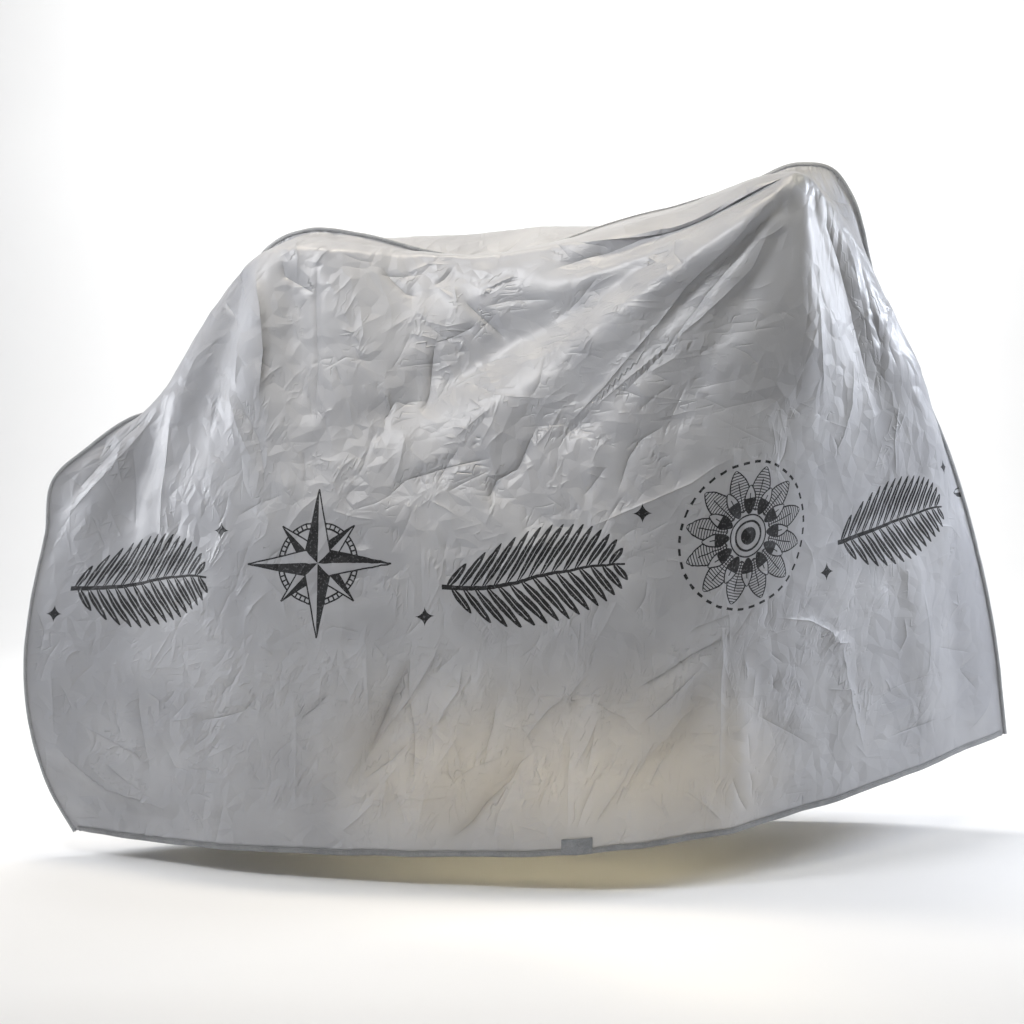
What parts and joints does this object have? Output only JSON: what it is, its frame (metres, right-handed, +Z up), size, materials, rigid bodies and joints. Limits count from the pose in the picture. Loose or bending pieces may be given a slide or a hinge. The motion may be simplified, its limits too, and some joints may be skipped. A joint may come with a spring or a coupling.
{
  "type": "bicycle cover",
  "caption": "Fitted rain cover of thin film, draped as it hangs over a bicycle, with a bound seam over the top and a bound hem.",
  "frame": {"origin": "the mount bar_rest, just under the seam where the top rests highest; the ground lies 1.120 m below it", "axes": "+X to the cover's front, which is its longest side, +Y across it away from the side that shows, +Z up"},
  "size_m": [1.8154, 0.6129, 1.1712],
  "materials": {
    "film": "semi-gloss silver film, slightly translucent, with a dark printed band",
    "tape": "matt grey woven tape"
  },
  "bodies": {
    "root": {"panel_near": "film", "panel_far": "film", "seam_binding": "tape", "hem_binding_near": "tape", "hem_binding_far": "tape", "hem_patch": "tape"}
  },
  "joints": []
}
